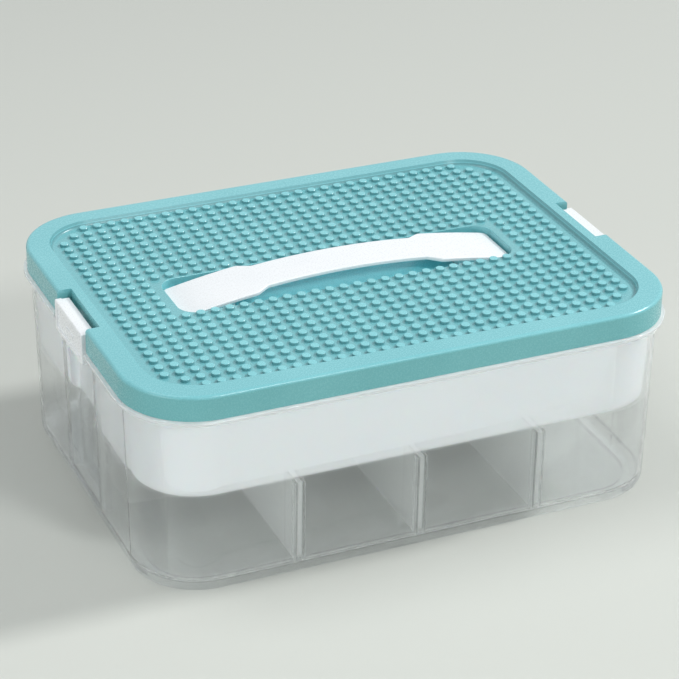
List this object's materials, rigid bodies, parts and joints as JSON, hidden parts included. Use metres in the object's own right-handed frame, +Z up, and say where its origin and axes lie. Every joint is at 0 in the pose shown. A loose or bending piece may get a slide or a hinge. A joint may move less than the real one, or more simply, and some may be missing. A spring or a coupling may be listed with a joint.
{
  "type": "building block storage box",
  "caption": "Stackable clear storage box with a studded lid, strap handle, end latches, hanging inner tray and cross dividers.",
  "frame": {"origin": "centre of the base, on the surface that the box stands on", "axes": "+X along the long side, +Y to the back, +Z up"},
  "size_m": [0.3042, 0.23, 0.118],
  "materials": {
    "clear_plastic": "clear, polished",
    "frosted_plastic": "frosted, translucent",
    "tray_plastic": "satin",
    "lid_plastic": "satin",
    "white_plastic": "satin"
  },
  "bodies": {
    "box_body": {"box": "clear_plastic"},
    "divider_left_body": {"divider_left": "frosted_plastic"},
    "divider_middle_body": {"divider_middle": "frosted_plastic"},
    "divider_right_body": {"divider_right": "frosted_plastic"},
    "tray_body": {"inner_tray": "tray_plastic"},
    "lid_body": {"lid": "lid_plastic"},
    "handle_body": {"handle": "white_plastic"},
    "latch_left_body": {"latch_left": "white_plastic"},
    "latch_right_body": {"latch_right": "white_plastic"}
  },
  "joints": [
    {"name": "lid_lift", "type": "slide", "parent": "box_body", "child": "lid_body", "axis": [0, 0, 1], "range_m": [0, 0.3]},
    {"name": "tray_lift", "type": "slide", "parent": "box_body", "child": "tray_body", "axis": [0, 0, 1], "range_m": [0, 0.18]},
    {"name": "divider_left_lift", "type": "slide", "parent": "box_body", "child": "divider_left_body", "axis": [0, 0, 1], "range_m": [0, 0.108]},
    {"name": "divider_middle_lift", "type": "slide", "parent": "box_body", "child": "divider_middle_body", "axis": [0, 0, 1], "range_m": [0, 0.108]},
    {"name": "divider_right_lift", "type": "slide", "parent": "box_body", "child": "divider_right_body", "axis": [0, 0, 1], "range_m": [0, 0.108]},
    {"name": "handle_lift", "type": "slide", "parent": "lid_body", "child": "handle_body", "axis": [0, 0, 1], "range_m": [0, 0.008]},
    {"name": "latch_left_turn", "type": "hinge", "parent": "lid_body", "child": "latch_left_body", "pos_m": [-0.1466, 0, 0.1084], "axis": [0, 1, 0], "range_deg": [0, 90]},
    {"name": "latch_right_turn", "type": "hinge", "parent": "lid_body", "child": "latch_right_body", "pos_m": [0.1466, 0, 0.1084], "axis": [0, -1, 0], "range_deg": [0, 90]}
  ],
  "couplings": [
    {"joint": "tray_lift", "follows": "lid_lift", "ratio": 0.6},
    {"joint": "divider_left_lift", "follows": "lid_lift", "ratio": 0.36},
    {"joint": "divider_middle_lift", "follows": "lid_lift", "ratio": 0.36},
    {"joint": "divider_right_lift", "follows": "lid_lift", "ratio": 0.36}
  ]
}
